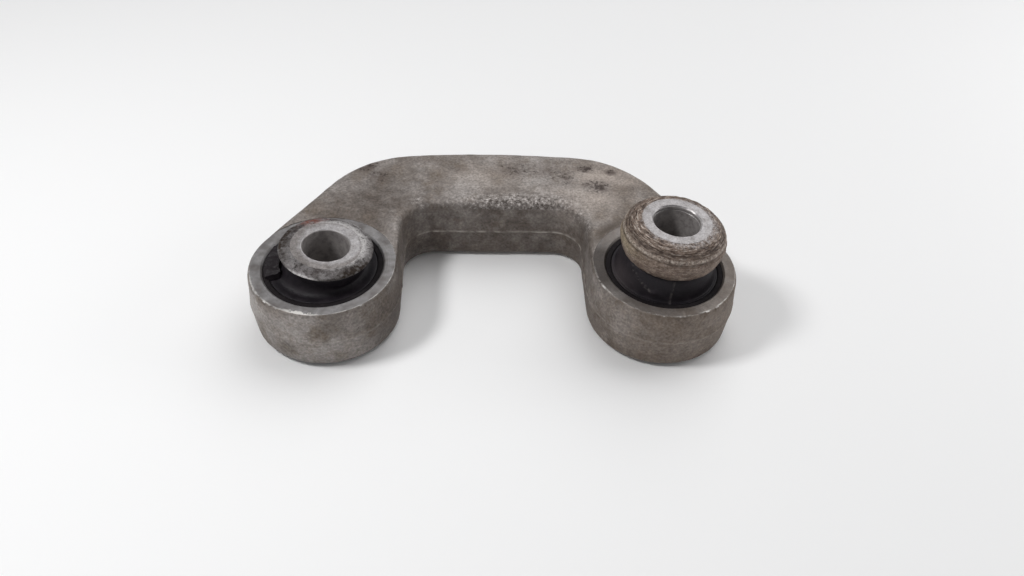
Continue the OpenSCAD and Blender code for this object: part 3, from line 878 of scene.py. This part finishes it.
# dark pits (0.5 mm, drawn at 0.8 mm) and a fine grain all over (0.2 mm, drawn at 0.35 mm)
pit = node(tree, "TexNoise", {"Vector": at, "Scale": 1 / 0.8, "Detail": 4.0, "Roughness": 0.65})
pit = node(tree, "MapRange", {"Value": pit["Fac"], "From Min": 0.54, "From Max": 0.64, "To Max": 0.8})
colour = node(tree, "Mix", {0: pit[0], 6: colour[2], 7: linear("#332e2d")}, data_type="RGBA")
grain = node(tree, "TexNoise", {"Vector": at, "Scale": 1 / 0.35, "Detail": 2.0, "Roughness": 0.6})
grain = node(
    tree, "MapRange",
    {"Value": grain["Fac"], "From Min": 0.3, "From Max": 0.7, "To Min": 0.72, "To Max": 1.25},
)
colour = node(tree, "Mix", {0: 1.0, 6: colour[2], 7: grain[0]}, data_type="RGBA", blend_type="MULTIPLY")
height = node(tree, "Math", {0: pit[0], 1: -1.0, 2: wear[0]}, operation="MULTIPLY_ADD")
relief = node(tree, "Bump", {"Strength": 0.5, "Distance": 0.1 * mm, "Height": height[0]})
# grime is matt and hides the metal
grimy = node(tree, "Attribute", {}, attribute_name="grime")
for socket, clean, dirty in (("Metallic", 0.5, 0.0), ("Roughness", 0.5, 0.85)):
    share = node(tree, "MapRange", {"Value": grimy["Fac"], "To Min": clean, "To Max": dirty})
    tree.links.new(share[0], shader.inputs[socket])
shader.inputs["Specular IOR Level"].default_value = 0.25
tree.links.new(colour[2], shader.inputs["Base Color"])
tree.links.new(relief[0], shader.inputs["Normal"])

stop = turned("short_collar", spaced(softened(stop_profile, 0.3), 0.2), 288)
spot = places(stop)
push(stop, 0.07 * cloud(spot, 1.6, 3) + 0.05 * cloud(spot, 5.0, 2))
angle_here = np.degrees(np.arctan2(spot[:, 1], spot[:, 0])) % 360.0
patchy = clamped(0.65 + 0.8 * cloud(spot, 0.8, 3))
unrolled = np.column_stack([angle_here, spot[:, 2]])
rust = clamped(1.9 * near(unrolled, (114.0, 13.0), (16.0, 0.35)) * patchy)
paint(stop, "rust", rust)
grime = 1.9 * near(unrolled, (314.0, 12.75), (24.0, 0.5)) * patchy
grime = np.maximum(grime, 1.6 * near(unrolled, (172.0, 12.95), (34.0, 0.4)) * patchy)
grime = np.maximum(grime, 0.8 * near(unrolled, (270.0, 12.45), (300.0, 0.3)) * patchy)
# a painted highlight along the lower left edge, where the grime gives way to it
edge_highlight = 4.0 * near(unrolled, (247.0, 12.48), (13.0, 0.16)) * clamped(0.75 + cloud(spot, 1.0, 2))
grime = clamped(grime - edge_highlight)
paint(stop, "grime", grime)
# the arm it was bolted to has rubbed the top bright, more on the side of the tall eye and the bridge
from_rub = np.hypot(spot[:, 0] - 0.9, spot[:, 1] - 0.7)
rubbed = clamped((8.7 - from_rub) / 1.2 + 0.5 * cloud(spot, 1.0, 3)) * (spot[:, 2] > 12.85)
rubbed = 0.65 * rubbed * (1.0 - grime) * (1.0 - rust)
scratched = 0.8 * near(unrolled, (58.0, 12.75), (24.0, 0.16)) * patchy
# the pale layer holds the rubbed top, a scratch and the painted highlight
paint(stop, "bright", np.maximum(edge_highlight, np.maximum(rubbed, scratched)))
stop.matrix_world = Matrix.Rotation(short_lean, 4, "Y")
smooth(stop, 45.0)
stop.data.materials.append(worn_plating)
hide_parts("short_stop_collar")
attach(stop, "short_sleeve")

# Tall spacer collar
# A thick steel collar pressed on the tall sleeve, turned with two grooves round its outside. It is dusty
# and lightly rusted all over, dark brown in the grooves, darkened at its foot by rust and painted shade,
# and rubbed paler on the ridges.
spacer_foot = 12.9
spacer_profile = [
    (7.6, 0.0), (10.35, 0.0), (10.85, 0.3), (11.25, 1.0), (11.65, 2.5), (11.85, 3.65), (11.85, 4.4),
    (11.65, 4.75), (11.45, 5.0), (11.45, 5.3), (11.52, 5.55), (11.35, 6.05), (10.9, 6.6), (10.45, 6.9),
    (10.28, 7.1), (10.2, 7.3), (10.0, 7.52), (9.4, 7.9), (8.4, 8.2), (7.6, 8.28),
]

# Steel under dust and light rust: brown and matt, streaked round the axis, dark in the grooves, with
# painted shade at the foot.
rusty_steel, tree, shader, at = finish("rusty_steel")
patches = node(tree, "TexNoise", {"Vector": at, "Scale": 1 / 3.0, "Detail": 8.0, "Roughness": 0.7})
patches = node(tree, "MapRange", {"Value": patches["Fac"], "From Min": 0.38, "From Max": 0.66})
colour = node(tree, "Mix", {0: patches[0], 6: linear("#8f7f73"), 7: linear("#655449")}, data_type="RGBA")
olive = node(tree, "Attribute", {}, attribute_name="olive")
colour = node(tree, "Mix", {0: olive["Fac"], 6: colour[2], 7: linear("#a89b80")}, data_type="RGBA")
# turning marks that rust and dust have filled: 2 mm long, 0.1 mm wide, drawn 0.4 mm wide
parts = node(tree, "SeparateXYZ", {0: at})
spoke = node(tree, "CombineXYZ", {0: parts[0], 1: parts[1]})
radius = node(tree, "VectorMath", {0: spoke[0]}, operation="LENGTH")
slope = node(tree, "Math", {0: radius["Value"], 1: -0.8, 2: parts[2]}, operation="MULTIPLY_ADD")
lathe = node(tree, "CombineXYZ", {0: parts[0], 1: parts[1], 2: slope[0]})
lathe = node(tree, "VectorMath", {0: lathe[0], 1: (1 / 2.0, 1 / 2.0, 1 / 0.4)}, operation="MULTIPLY")
marks = node(tree, "TexNoise", {"Vector": lathe[0], "Scale": 1.0, "Detail": 5.0, "Roughness": 0.7})
turning = node(tree, "Attribute", {}, attribute_name="streak")
for low, high, tint in ((0.48, 0.58, "#3a2b23"), (0.44, 0.34, "#c3bab1")):
    amount = node(tree, "MapRange", {"Value": marks["Fac"], "From Min": low, "From Max": high})
    amount = node(tree, "Math", {0: amount[0], 1: turning["Fac"]}, operation="MULTIPLY")
    colour = node(tree, "Mix", {0: amount[0], 6: colour[2], 7: linear(tint)}, data_type="RGBA")
# rust sits in the grooves, with painted shade at the foot, the ridges and the top are rubbed, all broken up
# by grains of 0.8 mm
speck = node(tree, "TexNoise", {"Vector": at, "Scale": 1 / 0.8, "Detail": 5.0, "Roughness": 0.7})
broken = node(tree, "MapRange", {"Value": speck["Fac"], "From Min": 0.4, "From Max": 0.58, "To Min": 0.05})
for shade, tint in (("groove", "#382b23"), ("ridge", "#b5aba1"), ("rubbed", "#9f9a99")):
    amount = node(tree, "Attribute", {}, attribute_name=shade)
    amount = node(tree, "Math", {0: amount["Fac"], 1: broken[0]}, operation="MULTIPLY")
    colour = node(tree, "Mix", {0: amount[0], 6: colour[2], 7: linear(tint)}, data_type="RGBA")
fine = node(tree, "TexNoise", {"Vector": at, "Scale": 1 / 0.4, "Detail": 2.0, "Roughness": 0.6})
fine = node(
    tree, "MapRange",
    {"Value": fine["Fac"], "From Min": 0.3, "From Max": 0.7, "To Min": 0.6, "To Max": 1.36},
)
colour = node(tree, "Mix", {0: 1.0, 6: colour[2], 7: fine[0]}, data_type="RGBA", blend_type="MULTIPLY")
relief = node(tree, "Bump", {"Strength": 0.5, "Distance": 0.12 * mm, "Height": speck["Fac"]})
tree.links.new(colour[2], shader.inputs["Base Color"])
tree.links.new(relief[0], shader.inputs["Normal"])
shader.inputs["Metallic"].default_value = 0.2
shader.inputs["Roughness"].default_value = 0.68

spacer = turned("tall_collar", spaced(softened(spacer_profile, 0.16), 0.2), 320)
spot = places(spacer)
radius_here = np.hypot(spot[:, 0], spot[:, 1])
angle_here = np.degrees(np.arctan2(spot[:, 1], spot[:, 0])) % 360.0
push(spacer, 0.09 * cloud(spot, 1.5, 3) + 0.07 * cloud(spot, 4.0, 2) + 0.05 * cloud(spot, 0.7, 2))
# streaks on the cone above the upper groove, most on the left, and a few on the belly
cone = clamped((spot[:, 2] - 6.0) / 0.7)
left_side = bell(angle_here, 195.0, 70.0)
paint(spacer, "streak", 0.35 + cone * (0.6 + 0.3 * left_side))
unrolled = np.column_stack([angle_here, spot[:, 2]])
paint(spacer, "olive", 0.6 * near(unrolled, (190.0, 4.2), (28.0, 1.6)))
on_side = radius_here > 9.5
upper_groove = bell(spot[:, 2], 6.85, 0.45)
lower_groove = bell(spot[:, 2], 5.12, 0.28)
# the foot is darkened, partly rust and partly painted shade
foot_rust_and_shade = bell(spot[:, 2], 0.6, 0.65)
paint(spacer, "groove", (0.85 * upper_groove + 0.9 * lower_groove + 0.8 * foot_rust_and_shade) * on_side)
paint(spacer, "ridge", 0.75 * bell(spot[:, 2], 5.85, 0.35) * on_side)
# round the sleeve the top is rubbed bright, more towards the front and the right
from_rub = np.hypot(spot[:, 0] - 0.7, spot[:, 1] + 0.5)
rubbed = clamped((8.9 - from_rub) / 1.4 + 0.6 * cloud(spot, 0.9, 3)) * (spot[:, 2] > 6.8)
paint(spacer, "rubbed", 0.95 * rubbed)
spacer.data.transform(Matrix.Translation((0.0, 0.0, spacer_foot * mm)))
stand = Matrix.Translation((centre_distance * mm, 0.0, 0.0))
spacer.matrix_world = stand @ Matrix.Rotation(tall_lean, 4, "Y")
smooth(spacer, 45.0)
spacer.data.materials.append(rusty_steel)
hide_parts("tall_spacer_collar")
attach(spacer, "tall_sleeve")

# Floor
# A plain white table top, 4 m wide, under the lowest point of the link: the foot of the short sleeve.
floor_reach = 2000.0
floor_corners = [(-1, -1, 0), (1, -1, 0), (1, 1, 0), (-1, 1, 0)]
floor = solid("floor", np.array(floor_corners) * floor_reach, [(0, 1, 2, 3)])
floor.location.z = cad_box[0][2]
white_table, tree, shader, at = finish("white_table")
shader.inputs["Base Color"].default_value = linear("#f6f6f6")
shader.inputs["Roughness"].default_value = 0.7
floor.data.materials.append(white_table)

# Light
# A soft lamp overhead at the back, a small near one on the left, weak ones low on the right and in
# front, and an even white surround, together at the level at which a colour renders as it is written.
surround = bpy.data.worlds.new("surround")
surround.use_nodes = True
surround.node_tree.nodes["Background"].inputs["Color"].default_value = linear("#fdfdff")
surround.node_tree.nodes["Background"].inputs["Strength"].default_value = 0.2
scene.world = surround
link_middle = Vector((mid_x * mm, 13.0 * mm, 0.0))
for name, place, width, watts in (
    ("ceiling_lamp", (0.3, 0.4, 0.7), 0.8, 3.65),
    ("left_lamp", (-0.2, -0.04, 0.33), 0.08, 0.78),
    ("right_lamp", (0.42, 0.05, 0.13), 0.2, 0.33),
    ("front_lamp", (-0.2, -0.7, 0.25), 0.5, 0.5),
):
    lamp_data = bpy.data.lights.new(name, "AREA")
    lamp_data.size = width
    lamp_data.energy = watts
    lamp = bpy.data.objects.new(name, lamp_data)
    lamp.location = place
    aim = link_middle - lamp.location
    lamp.rotation_euler = aim.to_track_quat("-Z", "Y").to_euler()
    scene.collection.objects.link(lamp)
